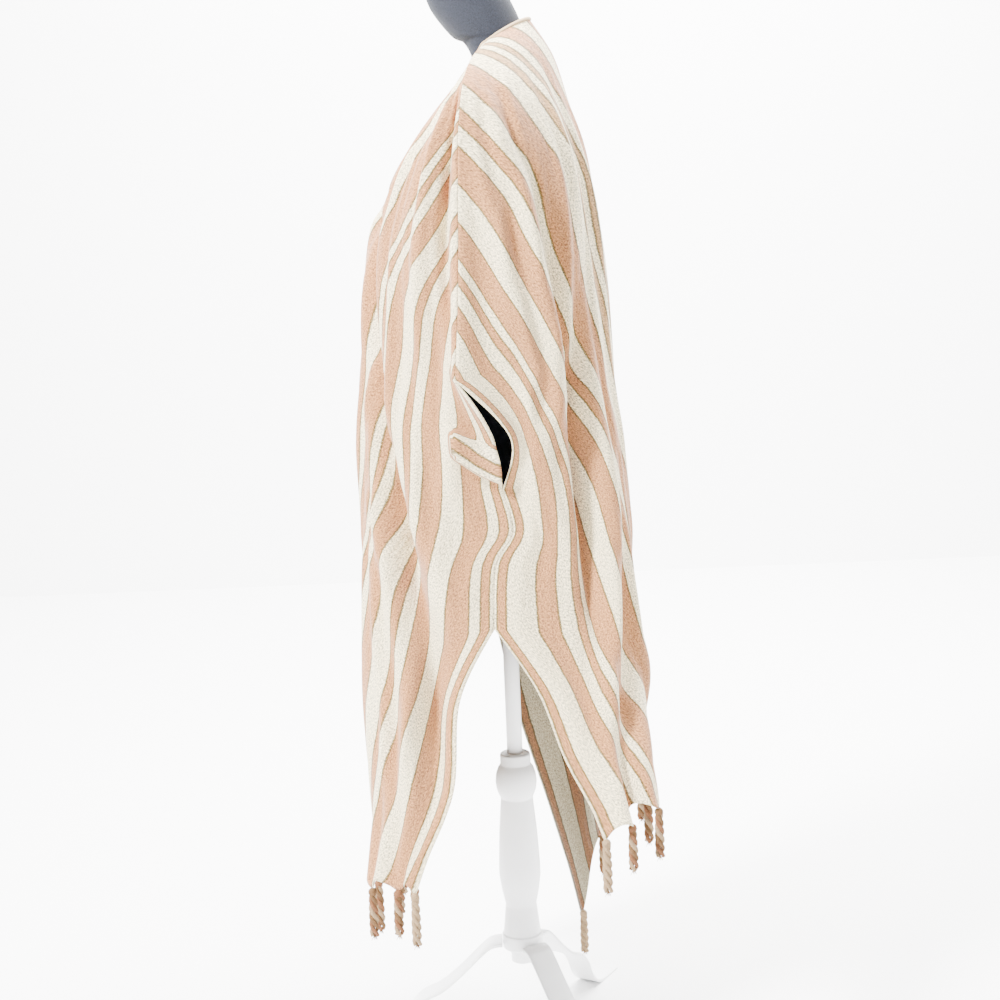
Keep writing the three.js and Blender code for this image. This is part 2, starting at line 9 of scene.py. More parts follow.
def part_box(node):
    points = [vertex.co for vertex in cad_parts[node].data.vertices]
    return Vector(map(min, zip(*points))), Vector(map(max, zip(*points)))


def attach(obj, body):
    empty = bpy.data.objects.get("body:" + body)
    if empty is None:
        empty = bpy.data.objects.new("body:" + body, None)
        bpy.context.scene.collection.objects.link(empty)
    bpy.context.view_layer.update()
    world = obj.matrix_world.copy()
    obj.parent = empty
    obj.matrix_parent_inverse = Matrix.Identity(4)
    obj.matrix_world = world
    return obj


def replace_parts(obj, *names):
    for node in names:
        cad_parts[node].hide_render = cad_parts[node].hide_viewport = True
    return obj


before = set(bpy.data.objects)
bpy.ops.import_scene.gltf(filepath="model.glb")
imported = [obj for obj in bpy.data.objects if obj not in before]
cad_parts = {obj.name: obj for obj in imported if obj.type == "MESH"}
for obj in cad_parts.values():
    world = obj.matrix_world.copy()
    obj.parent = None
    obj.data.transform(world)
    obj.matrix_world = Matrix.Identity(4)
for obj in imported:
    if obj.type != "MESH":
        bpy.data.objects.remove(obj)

bl_info = {
    "name": "Striped Beach Cover-up",
    "blender": (4, 5, 0),
    "version": (1, 0, 0),
    "location": "View3D > Sidebar > Cover-up",
    "description": "Builds a striped cotton beach cover-up on a dress form",
    "category": "Object",
}

MM = 0.001
PANELS = ("front", "back")

# Lengths below these count as none, in the mesh and in a division.
SAME = 1e-6
TINY = 1e-9

# Sections of the back panel, shoulder to hem, in millimetres from the stand's axis.
# y, z: the centre line. near and far: the edge on the wearer's left and right, as x, y, z.
# across: the cloth's width from the centre line to that edge.
BACK = [
    dict(y=62, z=1442, near=(66, 4, 1414), far=(66, 4, 1414), across=66),
    dict(y=90, z=1396, near=(125, -18, 1388), far=(125, -18, 1388), across=130),
    dict(y=107, z=1338, near=(178, -31, 1352), far=(178, -31, 1350), across=194),
    dict(y=123, z=1268, near=(206, -39, 1290), far=(206, -38, 1286), across=258),
    dict(y=134, z=1182, near=(215, -43, 1200), far=(215, -42, 1190), across=348),
    dict(y=140, z=1080, near=(220, -47, 1100), far=(221, -44, 1084), across=447),
    dict(y=144, z=960, near=(226, -56, 982), far=(226, -47, 955), across=570),
    dict(y=149, z=890, near=(208, 10, 905), far=(212, 14, 876), across=570),
    dict(y=153, z=826, near=(180, -2, 834), far=(184, -2, 800), across=570),
    dict(y=157, z=762, near=(184, 10, 780), far=(190, 8, 736), across=570),
    dict(y=158, z=706, near=(190, -14, 735), far=(196, -10, 670), across=570),
    dict(y=164, z=606, near=(200, -20, 655), far=(204, -20, 560), across=570),
    dict(y=166, z=556, near=(222, 32, 576), far=(206, 8, 420), across=570),
    dict(y=167, z=508, near=(262, 64, 494), far=(180, 48, 286), across=570),
    dict(y=168, z=470, near=(300, 108, 416), far=(102, 90, 150), across=570),
]

# Sections of the front panel. v: the neck edge, or the centre line once the V has closed,
# as x, y, z. inner: the cloth's width from the centre line to v.
FRONT = [
    dict(v=(62, -4, 1409), near=(69, 1, 1411.5), far=(69, 1, 1411.5), inner=62, across=70),
    dict(v=(64, -30, 1367), near=(125, -18, 1388), far=(125, -18, 1388), inner=62, across=130),
    dict(v=(60, -68, 1324), near=(178, -31, 1352), far=(178, -31, 1350), inner=56, across=194),
    dict(v=(47, -110, 1266), near=(206, -39, 1290), far=(206, -38, 1286), inner=43, across=258),
    dict(v=(28, -139, 1213), near=(215, -43, 1200), far=(215, -42, 1190), inner=25, across=348),
    dict(v=(0, -164, 1154), near=(220, -47, 1100), far=(221, -44, 1084), inner=0, across=447),
    dict(v=(0, -176, 1010), near=(226, -56, 982), far=(226, -47, 955), inner=0, across=570),
    dict(v=(0, -180, 930), near=(194, -7, 890), far=(208, -66, 868), inner=0, across=570),
    dict(v=(0, -180, 862), near=(180, -2, 834), far=(184, -2, 800), inner=0, across=570),
    dict(v=(0, -180, 796), near=(184, 10, 780), far=(190, 8, 736), inner=0, across=570),
    dict(v=(0, -179, 736), near=(190, -14, 735), far=(196, -10, 670), inner=0, across=570),
    dict(v=(0, -178, 620), near=(200, -20, 655), far=(204, -20, 560), inner=0, across=570),
    dict(v=(0, -176, 510), near=(216, -68, 566), far=(206, -88, 450), inner=0, across=570),
    dict(v=(0, -173, 410), near=(244, -82, 450), far=(205, -116, 370), inner=0, across=570),
    dict(v=(0, -170, 330), near=(268, -134, 344), far=(196, -132, 320), inner=0, across=570),
]

SECTIONS = {"back": BACK, "front": FRONT}
LAST = len(BACK) - 1
NECK_V_ROW = 5
# Sections at which a side edge turns: sleeve end, foot of the armhole, top of the slit.
EDGE_BREAKS = (0, 6, 8, 11, 14)
SLEEVE_END = EDGE_BREAKS[1]

# A span is a pair of sections, or of places across, over which a change takes place.

# The share of the half panel past which it bends to its edge's own line, high up and low down.
EDGE_ZONE = (0.88, 0.74)
EDGE_ZONE_SPAN = (8.5, 10.5)

# The cloth away from an edge follows that edge only on average over these sections. The
# averaging comes in over the first span and goes out again over the second.
GUIDE = np.linspace(-2.2, 2.2, 9)
GUIDE_START = (4, 6)
GUIDE_STOP = (12, 15)

# How round a section is across the body, from 0, a straight line, to 1, a quarter circle.
FULLNESS = 0.72
# The power by which depth leaves the centre line's, and what is added to it on the way down.
DEPTH_POWER = 1.7
DEPTH_ADDED = ((1.1, (1, 4)), (1.4, (5, 11)))
# The power by which height leaves the centre line's, high up and at the hem.
HEIGHT_POWER = {"top": 2, "hem": 3.2, "near back hem": 1.2}
HEIGHT_SPAN = (8, 13)

# The step across the half panel from which the cloth's outward direction is taken.
Q_STEP = 0.01

# Main folds: panel, side (1 near, -1 far), half width as a share of the half panel, and the
# line that each one takes: section, place across the half panel, how far it stands out, mm.
FOLDS = [
    dict(panel="back", side=1, wide=0.14, line=[
        (2, 0.12, 0), (5, 0.31, 10), (7.3, 0.36, 14), (11, 0.44, 18), (13.5, 0.70, 28),
        (14, 0.72, 30)]),
    dict(panel="back", side=1, wide=0.045, line=[
        (2, 0.88, 0), (3, 0.86, 14), (4.2, 0.79, 17), (5.5, 0.74, 20), (6.4, 0.76, 18),
        (7.6, 0.86, 0)]),
    dict(panel="back", side=1, wide=0.04, line=[
        (2, 0.81, 0), (3, 0.79, -11), (4.2, 0.72, -13), (5.5, 0.66, -10), (6.4, 0.69, 0)]),
    dict(panel="back", side=1, wide=0.035, line=[
        (3, 0.95, 0), (3.8, 0.92, 9), (4.7, 0.87, 12), (6, 0.83, 12), (7, 0.90, 0)]),
    dict(panel="back", side=1, wide=0.045, line=[
        (4.6, 0.55, 0), (5.5, 0.57, -16), (6.2, 0.64, -28), (7.7, 0.70, -32), (8.6, 0.73, -32),
        (10.4, 0.77, -22), (11.8, 0.79, 0)]),
    dict(panel="back", side=1, wide=0.07, line=[
        (5, 0.44, 0), (6.4, 0.54, 12), (8.6, 0.60, 16), (10.4, 0.64, 12), (12, 0.66, 0)]),
    dict(panel="back", side=1, wide=0.045, line=[
        (8.5, 0.62, 0), (10.2, 0.67, 12), (11.8, 0.76, 15), (13.6, 0.88, 13), (14, 0.89, 12)]),
    dict(panel="back", side=1, wide=0.05, line=[
        (9.6, 0.55, 0), (11.8, 0.64, -14), (13.6, 0.79, -16), (14, 0.80, -16)]),
    dict(panel="back", side=1, wide=0.10, line=[
        (4, 0.0, 0), (8, 0.08, -14), (14, 0.30, -24)]),
    dict(panel="back", side=-1, wide=0.14, line=[
        (2, 0.14, 0), (5, 0.34, 12), (8, 0.40, 16), (11, 0.46, 20), (14, 0.62, 26)]),
    dict(panel="back", side=-1, wide=0.05, line=[
        (2, 0.86, 0), (3.4, 0.82, 14), (5.5, 0.76, 18), (7.8, 0.80, 0)]),
    dict(panel="back", side=-1, wide=0.05, line=[
        (3.6, 0.70, 0), (5.5, 0.64, -20), (8, 0.66, -30), (10.6, 0.72, -24), (14, 0.80, -12)]),
    dict(panel="back", side=-1, wide=0.07, line=[
        (8.5, 0.80, 0), (10.6, 0.84, 14), (14, 0.90, 18)]),
    dict(panel="back", side=-1, wide=0.08, line=[
        (4, 0.10, 0), (8, 0.14, -16), (14, 0.30, -22)]),
    dict(panel="front", side=1, wide=0.15, line=[
        (4, 0.10, 0), (6, 0.25, 7), (8.6, 0.40, 17), (11, 0.54, 26), (12, 0.60, 30),
        (14, 0.68, 38)]),
    dict(panel="front", side=1, wide=0.04, line=[
        (1.8, 0.93, 0), (2.7, 0.93, -13), (4.5, 0.925, -18), (5.2, 0.93, -13), (6, 0.93, -2),
        (6.3, 0.93, 0)]),
    dict(panel="front", side=1, wide=0.05, line=[
        (3.6, 0.14, 0), (4.6, 0.32, -12), (6.2, 0.50, -20), (8.6, 0.66, -26), (10.4, 0.80, -26),
        (12, 0.90, -24), (13.4, 0.95, 0)]),
    dict(panel="front", side=1, wide=0.05, line=[
        (4.2, 0.18, 0), (6.2, 0.42, 8), (8.6, 0.57, 14), (10.4, 0.71, 18), (12, 0.81, 20),
        (13.6, 0.88, 10), (14, 0.90, 6)]),
    dict(panel="front", side=1, wide=0.07, line=[
        (5.4, 0.62, 0), (7, 0.70, 10), (9, 0.80, 16), (10.4, 0.90, 14), (11.4, 0.95, 0)]),
    dict(panel="front", side=1, wide=0.03, line=[
        (8, 0.46, 0), (8.6, 0.50, 6), (12, 0.70, 8), (14, 0.79, 8)]),
    dict(panel="front", side=1, wide=0.10, line=[
        (4.6, 0.0, 0), (8, 0.10, -12), (14, 0.30, -26)]),
    dict(panel="front", side=-1, wide=0.15, line=[
        (4, 0.12, 0), (6, 0.26, 12), (9, 0.40, 20), (12, 0.52, 26), (14, 0.58, 32)]),
    dict(panel="front", side=-1, wide=0.045, line=[
        (1.8, 0.93, 0), (2.8, 0.93, -12), (5, 0.92, -16), (6.6, 0.93, 0)]),
    dict(panel="front", side=-1, wide=0.05, line=[
        (3.8, 0.20, 0), (5.4, 0.44, -14), (8, 0.62, -26), (10.5, 0.76, -24), (13.4, 0.84, -10)]),
    dict(panel="front", side=-1, wide=0.07, line=[
        (6, 0.74, 0), (8, 0.80, 14), (11, 0.88, 16), (13.5, 0.93, 8), (14, 0.93, 8)]),
    dict(panel="front", side=-1, wide=0.10, line=[
        (4.6, 0.0, 0), (8, 0.10, -12), (14, 0.28, -24)]),
]

# All folds come in below the shoulder over this span, and fade out beside a side edge.
FOLD_START = (0.6, 1.4)
FOLD_EDGE = 0.06

# The sagging fold at the front of the near armhole. start, stop: its first and last section at
# the armhole. lift, bend: how many sections higher its lip is at its inner end, and the power of
# the curve that takes it there. inner: its inner end, as a share of the half panel. out: how far
# it stands out, mm. row: the length of a section there, mm. middle, reach, rounding: where its
# inner end is widest, how far that goes up and down, and how much it draws in beyond.
LOBE = dict(start=6.8, stop=7.7143, lift=0.3, bend=1.6, inner=0.885, out=15, row=58,
            middle=7.25, reach=0.45, rounding=0.045,
            side_blend=0.02, top_blend=0.4, lip_blend=0.06)
# The grid's rows follow the lip this many sections up and down, from and to these columns.
LIP_ROWS = 1.2
LIP_COLUMNS = (0.6, 0.85)
# How the stripes change over to the fold's own: the factor on its share, and what is added.
LOBE_STRIPES = (1.6, -0.3)

# How far the front of a sleeve's open end laps back over it, mm.
SLEEVE_LAP = 5

# Half the cloth's width, mm.
HALF_CLOTH = 570

# The weave is evened out over this many sections up and down. That comes in over the span, and
# goes out again over the last share before a side edge.
EVEN_SECTIONS = 1.6
EVEN_SPAN = (4, 6)
EVEN_EDGE = 0.1

# How far the stripes are pulled askew halfway to the edge, mm: one way over the first span, and
# the other way by the end of the second.
SKEW = 32
SKEW_START = (3, 5)
SKEW_TURN = (5, 11.5)

# Smaller soft folds: height in mm, waves across, slow bends and drift down the cloth.
SOFT = [(3.1, 24, 0.5, 0.10), (2.3, 41, 0.8, -0.14), (1.3, 67, 1.2, 0.2), (0.6, 110, 2.1, -0.3)]
SOFT_START = (0.6, 3.6)
SOFT_CENTRE = 0.1
# Their phase: what each fold, the far side and the back add, and how far they sway.
SWAY = dict(each=1.7, far=2.3, back=1.1, reach=1.3)

# Knots along half a hem, as shares of the half width; the one on the centre line is extra.
# The outermost one hangs just inside the corner.
KNOTS = (1.0, 0.857, 0.714, 0.571, 0.429, 0.286, 0.143)
LAST_KNOT = 0.991
# How far the hem dips at a knot, mm, and the span over which the cloth does.
HEM_DIP = 14
DIP_SPAN = (LAST - 0.5, LAST)

# A knot's place below the hem and its height, as shares of its radius, and its lumps.
KNOT_SHAPE = dict(drop=0.9, tall=1.05, lumps=0.12, waves_up=1800, waves_across=900)

# A tassel's twisted locks, in metres: uneven and change are how much its length varies and how
# fast from one to the next, turns how often a lock goes round, spread how much wider it goes at
# its end, twist its own turn in radians a step, and thin, bulge and ripple its share of the
# lock's radius at its ends, what is added halfway and what goes up and down along it.
TASSEL = dict(uneven=0.005, change=2.1, locks=3, steps=26, turns=1.75, orbit=0.0028, spread=0.4,
              lock_radius=0.0028, twist=0.5, thin=0.9, bulge=0.25, ripple=0.06, ripples=70,
              ends_from=0.97)

# The loose ends below the locks, in metres: least reach and drop, and what is added to them.
LOOSE = dict(count=14, angle=2.4, reach=(0.002, 0.003), drop=(0.004, 0.006), radius=0.0006,
             thinning=0.6, places=(0, 0.35, 0.7, 1))

# The rolled band, laid beside the neck's edge: its gap to the cloth in metres, the points
# along each front half and each back half, the points left out beside the shoulders, how far
# up the front's line goes, how far inwards the cloth's direction is taken, and the gap to the
# centre line at the foot of the V as a share of its radius.
BAND = dict(gap=0.0006, sides=12, front_steps=80, front_reach=0.985, back_steps=40,
            back_skips=5, inward=0.06, inward_down=0.02, foot_gap=0.8)

# Stripes from a side edge to the centre line: colour and width in millimetres.
STRIPES = {
    "back": [
        ("cream", 6), ("pink", 15), ("cream", 46), ("pink", 32), ("cream", 27), ("pink", 15),
        ("cream", 19), ("pink", 43), ("cream", 47), ("pink", 47), ("cream", 28), ("pink", 18),
        ("cream", 34), ("pink", 44), ("cream", 34), ("tan", 14), ("cream", 12), ("tan", 10),
        ("cream", 16), ("pink", 24), ("cream", 24), ("pink", 15),
    ],
    "front": [
        ("cream", 9), ("pink", 16), ("cream", 20), ("pink", 40), ("cream", 46), ("pink", 40),
        ("cream", 25), ("pink", 18), ("cream", 45), ("pink", 35), ("cream", 20), ("pink", 15),
        ("cream", 16), ("pink", 45), ("cream", 30), ("pink", 60), ("cream", 50), ("pink", 40),
    ],
}

# Sections of the dress form's body: height, middle depth, half width, half depth.
BODY = [
    dict(z=742, y=-4, wide=118, deep=84), dict(z=760, y=-4, wide=132, deep=96),
    dict(z=840, y=-6, wide=134, deep=100), dict(z=960, y=-10, wide=116, deep=88),
    dict(z=1040, y=-16, wide=120, deep=92), dict(z=1140, y=-24, wide=138, deep=112),
    dict(z=1200, y=-18, wide=148, deep=108), dict(z=1270, y=0, wide=158, deep=88),
    dict(z=1330, y=18, wide=146, deep=66), dict(z=1368, y=18, wide=108, deep=49.9),
    dict(z=1392, y=22, wide=57, deep=41), dict(z=1417, y=13, wide=50, deep=42),
    dict(z=1427, y=4, wide=50, deep=50), dict(z=1462, y=-16, wide=51, deep=56),
    dict(z=1498, y=-31, wide=51, deep=53),
]
# The power of its rounded outline: 2 is an ellipse, and more is squarer.
BODY_POWER = 2.3
BODY_STEPS = 120
BODY_SIDES = 96

# The cap on the neck as radius, height.
CAP = [(45, 0), (46, 1), (46, 6), (44.5, 8.5), (40, 11), (28, 13.6), (14, 15), (6, 15.8)]

# The turned post's outline as radius, height.
POST = [
    (17, 118), (17, 138.5), (27, 138.5), (28.7, 141), (28.7, 159), (26.6, 161), (22.4, 201),
    (22, 204), (26, 222), (29.5, 246), (29.5, 262), (27, 312), (23, 358), (22.6, 361),
    (25.6, 367), (28.3, 375), (29.4, 385), (28.3, 396), (25.2, 405), (21.6, 410), (21.6, 424),
    (20, 426),
]

POLE_RADIUS = 11
TURNED_STEPS = 72

# The gap where a piece of the form sits on the next one, mm.
JOIN_GAP = 0.3

# How far edges are rounded, in metres, and the angle from which they are.
EDGE_ROUND = 0.0012
SOFT_EDGE_ANGLE = math.radians(30)

# A strap leg's middle line as distance from the axis, height.
LEG = [
    (29.2, 150), (44, 148), (58, 138), (92, 106), (120, 84), (146, 72), (166, 52), (180, 26),
    (200, 8), (232, 2.5), (262, 2.5),
]
LEG_STEPS = 60
LEG_HALF_WIDTH = 19
LEG_THICKNESS = 5

# Colours of the stripes, of the lines between them, and of the form's cover and paint.
COLOURS = {
    "pink": (0.37, 0.165, 0.062), "cream": (0.70, 0.60, 0.385), "tan": (0.36, 0.20, 0.075),
    "line": (0.105, 0.065, 0.010), "slate": (0.0115, 0.0145, 0.0245), "paint": (0.93, 0.93, 0.93),
}

BAND_COLOUR = (0.46, 0.32, 0.17)

# The tassels' yarns: name, colour and how uneven its tone is.
YARNS = [
    ("Yarn pink", (0.21, 0.085, 0.032), 0.4), ("Yarn tan", (0.16, 0.078, 0.026), 0.4),
    ("Yarn cream", (0.34, 0.225, 0.12), 0.35),
]
CREAM_YARN = 2

# How dark the cloth's inner face is beside its outer face: painted shade, for the shade that falls
# on the cloth's inside.
INSIDE_PAINTED_SHADE = 0.42

# The cloth's finish, in metres of cloth and per metre of it. The stripes' edges wobble, a line
# is where stripes half a line's width to either side differ, and it is worn in places.
WOBBLE = dict(scale=60, size=0.003)
LINE = dict(half=0.0017, least=0.03, wear_scale=700, wear_from=(0.3, 0.55), wear_to=(0.55, 1))
SLUB = dict(stretch=(430, 400, 1), tone=(0.27, 1.8))
CRINKLE = dict(stretch=(90, 45, 1), strength=0.6, distance=0.004)
WEAVE = dict(stretch=(700, 420, 1), strength=0.35, distance=0.0008)

# The values between which a noise texture mostly lies.
NOISE_SPAN = (0.3, 0.7)

# A direction is upright when this much of it is along Z.
UPRIGHT = 0.9

# The studio in metres: half the floor's side, the wall's place, and the world's strength.
STUDIO = dict(half=6, wall=(-3.2, 0, 3), colour=(0.95, 0.95, 0.95), world=0.45)
LIGHTS = [
    dict(name="Key light", place=(1.9, -2.3, 3.4), aim=(0, 0, 0.9), size=0.7, power=840),
    dict(name="Fill light", place=(2.6, 2.4, 1.6), aim=(0, 0, 0.9), size=2.5, power=70),
    dict(name="Back light", place=(-1.2, 0.5, 3.4), aim=(-3.2, 0, 0.6), size=3.0, power=1150),
]

# The camera: its place from the stand's axis in metres, its lens in mm and its tilt in degrees.
CAMERA = dict(place=(2.46, -0.0016, 1.2103), sensor=36, lens=64.34, shift_y=-0.08,
              down=7.14, roll=2.38)

low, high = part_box("form_pole")
AXIS = Vector(((low[0] + high[0]) / 2, (low[1] + high[1]) / 2, 0))


# The cloth in numbers

def along(values, t):
    """Smooth curve through a table's values, at the places t between its rows."""
    values = np.asarray(values, float)
    last = len(values) - 1
    at = np.clip(t, 0, last)
    i = np.minimum(np.floor(at).astype(int), last - 1)
    f = at - i
    p = [values[np.clip(i + k, 0, last)] for k in (-1, 0, 1, 2)]
    return 0.5 * (2 * p[1] + (p[2] - p[0]) * f
                  + (2 * p[0] - 5 * p[1] + 4 * p[2] - p[3]) * f * f
                  + (3 * p[1] - p[0] - 3 * p[2] + p[3]) * f ** 3)


def along_edge(values, t):
    """The same, but turning a corner at each of the breaks."""
    out = np.zeros_like(t)
    for a, b in zip(EDGE_BREAKS, EDGE_BREAKS[1:]):
        part = (t >= a) & (t <= b)
        out[part] = along(values[a:b + 1], t[part] - a)
    return out


def mix(a, b, f):
    """a where f is 0, b where it is 1."""
    return a + (b - a) * f


def smooth(f):
    """0 below 0, 1 above 1, and an even S between."""
    f = np.clip(f, 0, 1)
    return f * f * (3 - 2 * f)


def rise(t, span):
    """Goes smoothly from 0 at a span's start to 1 at its end."""
    start, stop = span
    return smooth((t - start) / (stop - start))


def soft_folds(panel, side, q, t):
    """Heights of the smaller folds, each one a wave across the cloth that sways on its way down."""
    out = np.zeros_like(q)
    far = SWAY["far"] if side < 0 else 0
    back = SWAY["back"] if panel == "back" else 0
    for k, (size, across, down, drift) in enumerate(SOFT):
        phase = SWAY["each"] * k + far + back
        sway = SWAY["reach"] * np.sin(down * t + phase)
        wave = np.sin(across * q + drift * t + phase + sway)
        out += size * wave * rise(t, SOFT_START) * smooth(q / SOFT_CENTRE)
    return out


def fold_depth(panel, side, q, t):
    """How far the cloth's folds stand out from its plain form, in mm."""
    out = np.zeros_like(q)
    for f in FOLDS:
        if f["panel"] != panel or f["side"] != side:
            continue
        section, place, height = np.transpose(f["line"])
        below = height[-1] if section[-1] == LAST else 0
        height = np.interp(t, section, height, left=0, right=below)
        middle = np.interp(t, section, place)
        out += height * np.exp(-((q - middle) / f["wide"]) ** 2)
    out += soft_folds(panel, side, q, t)
    out = out * smooth((1 - q) / FOLD_EDGE) * rise(t, FOLD_START)
    if panel == "front" and side > 0:
        out += LOBE["out"] * lobe_share(q, t)
    return out


def lobe_lip(q):
    """The section at which the sagging fold's free edge hangs."""
    inward = np.clip((1 - q) / (1 - LOBE["inner"]), 0, 1)
    return LOBE["stop"] - LOBE["lift"] * inward ** LOBE["bend"]


def lobe_share(q, t):
    """1 on the sagging sleeve fold of the near armhole, 0 elsewhere."""
    from_middle = np.clip(np.abs(t - LOBE["middle"]) / LOBE["reach"], 0, 1)
    inner = LOBE["inner"] + LOBE["rounding"] * from_middle ** 3
    return (smooth((q - inner) / LOBE["side_blend"])
            * smooth((t - LOBE["start"]) / LOBE["top_blend"])
            * (1 - smooth((t - lobe_lip(q)) / LOBE["lip_blend"])))


def edge_line(rows, key, axis, t, corner):
    """A side edge's x, y or z: its own line at the edge, and an averaged one away from it."""
    values = [r[key][axis] for r in rows]
    line = along(values, t)
    average = np.mean([along(values, t + d) for d in GUIDE], axis=0)
    guide = mix(line, average, rise(t, GUIDE_START) * (1 - rise(t, GUIDE_STOP)))
    return mix(guide, along_edge(values, t), corner)


def base_points(panel, side, q, t):
    """Points of half a panel without its folds, in mm from the stand's axis."""
    rows = SECTIONS[panel]
    key = "near" if side > 0 else "far"
    turns = mix(*EDGE_ZONE, rise(t, EDGE_ZONE_SPAN))
    corner = smooth((q - turns) / (1 - turns))
    edge = [edge_line(rows, key, axis, t, corner) for axis in range(3)]
    if panel == "front":
        edge[1] = edge[1] + SLEEVE_LAP * corner * np.sin(math.pi * np.clip(t - SLEEVE_END, 0, 1))
    if panel == "back":
        start = [0 * t, along([r["y"] for r in rows], t), along([r["z"] for r in rows], t)]
    else:
        start = [along([r["v"][k] for r in rows], t) for k in range(3)]
        start[0] = np.where(t >= NECK_V_ROW, 0, start[0])
    depth = DEPTH_POWER + sum(added * rise(t, span) for added, span in DEPTH_ADDED)
    hem = HEIGHT_POWER["near back hem" if panel == "back" and side > 0 else "hem"]
    height = mix(HEIGHT_POWER["top"], hem, rise(t, HEIGHT_SPAN))
    round_x = mix(q, np.sin(q * math.pi / 2), FULLNESS)
    return np.stack([side * mix(start[0], edge[0], round_x),
                     mix(start[1], edge[1], q ** depth),
                     mix(start[2], edge[2], q ** height)], -1)


def cloth_points(panel, side, q, t):
    """Points of half a panel in metres. q runs from the centre to the side edge, t down."""
    q, t = np.broadcast_arrays(np.asarray(q, float), np.asarray(t, float))
    p = base_points(panel, side, q, t)
    before = base_points(panel, side, np.maximum(q - Q_STEP, 0), t)
    after = base_points(panel, side, np.minimum(q + Q_STEP, 1), t)
    away = 1 if panel == "back" else -1
    out = np.stack([after[..., 1] - before[..., 1], before[..., 0] - after[..., 0],
                    0 * q], -1) * -side * away
    out /= np.maximum(np.linalg.norm(out, axis=-1, keepdims=True), TINY)
    p = p + out * fold_depth(panel, side, q, t)[..., None]
    from_knot = np.min([np.abs(q - k) for k in (0,) + KNOTS], axis=0)
    knot_space = (KNOTS[1] - KNOTS[2]) / 2
    p[..., 2] -= HEM_DIP * (1 - smooth(from_knot / knot_space)) * rise(t, DIP_SPAN)
    return p * MM + np.array(AXIS)


def running_length(points, axis):
    """Length along a grid's rows or columns, from the first point of each."""
    step = np.linalg.norm(np.diff(points, axis=axis), axis=-1)
    run = np.cumsum(step, axis=axis)
    return np.concatenate([np.zeros_like(np.take(run, [0], axis=axis)), run], axis=axis)


def follow_lip(q, t):
    """Bend the near front's grid rows, so that one of them runs along the sagging fold's lip."""
    beside = 1 - np.clip(np.abs(t - LOBE["stop"]) / LIP_ROWS, 0, 1)
    return t + (lobe_lip(q) - LOBE["stop"]) * smooth(beside) * rise(q, LIP_COLUMNS)


def weave_place(panel, side, q, t, run):
    """How far across the cut cloth each grid point lies from its centre line, in mm."""
    rows = len(t) - 1
    share = run / np.maximum(run[:, -1:], TINY)
    table = SECTIONS[panel]
    across = along([r["across"] for r in table], t)
    inner = along([r.get("inner", 0) for r in table], t)
    inner = np.where(t >= NECK_V_ROW, 0, inner)
    width = inner + (across - inner) * share
    reach = round(EVEN_SECTIONS * rows / LAST)
    padded = np.pad(width, ((reach, reach), (0, 0)), mode="edge")
    even = np.mean([padded[k:k + rows + 1] for k in range(2 * reach + 1)], axis=0)
    width = mix(width, even, rise(t, EVEN_SPAN) * smooth((1 - q) / EVEN_EDGE))
    askew = rise(t, SKEW_START) * (2 * rise(t, SKEW_TURN) - 1)
    width = width + SKEW * askew * np.sin(math.pi * q)
    if panel == "front" and side > 0:
        on_lobe = HALF_CLOTH - (lobe_lip(q) - t) * LOBE["row"]
        width = mix(width, on_lobe, smooth(LOBE_STRIPES[0] * lobe_share(q, t) + LOBE_STRIPES[1]))
    return width


def half_grids(panel, rows, columns):
    """Each half panel's grid: points, place across the cut cloth and length down it, in metres."""
    grids = {}
    q = np.linspace(0, 1, columns + 1)[None, :]
    even_t = np.linspace(0, LAST, rows + 1)[:, None] + 0 * q
    for side in (1, -1):
        t = follow_lip(q, even_t) if panel == "front" and side > 0 else even_t
        p = cloth_points(panel, side, q, t)
        width = weave_place(panel, side, q, t, running_length(p, 1))
        grids[side] = (p, width * MM, running_length(p, 0))
    return grids


# Meshes

def finish_object(name, bm, materials):
    """Make the mesh a smooth-shaded object that rides on the root body."""
    bmesh.ops.recalc_face_normals(bm, faces=bm.faces[:])
    mesh = bpy.data.meshes.new(name)
    bm.to_mesh(mesh)
    bm.free()
    for m in materials:
        mesh.materials.append(m)
    mesh.shade_smooth()
    obj = bpy.data.objects.new(name, mesh)
    bpy.context.scene.collection.objects.link(obj)
    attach(obj, "root")
    return obj


def soften_edges(obj, width, segments):
    """Round a piece's sharp edges with a modifier."""
    bevel = obj.modifiers.new("Soft edges", "BEVEL")
    bevel.width = width
    bevel.segments = segments
    bevel.limit_method = "ANGLE"
    bevel.angle_limit = SOFT_EDGE_ANGLE


def split_neck_v(bm, rows):
    """Cut the front's grid along the centre line, down to the foot of the V."""
    last_v = round(rows * NECK_V_ROW / LAST)
    cut = [e for e in bm.edges if all(
        abs(v.co.x) < SAME and round((1 - v.co.y) / 2 * rows) <= last_v for v in e.verts)]
    bmesh.ops.split_edges(bm, edges=cut)


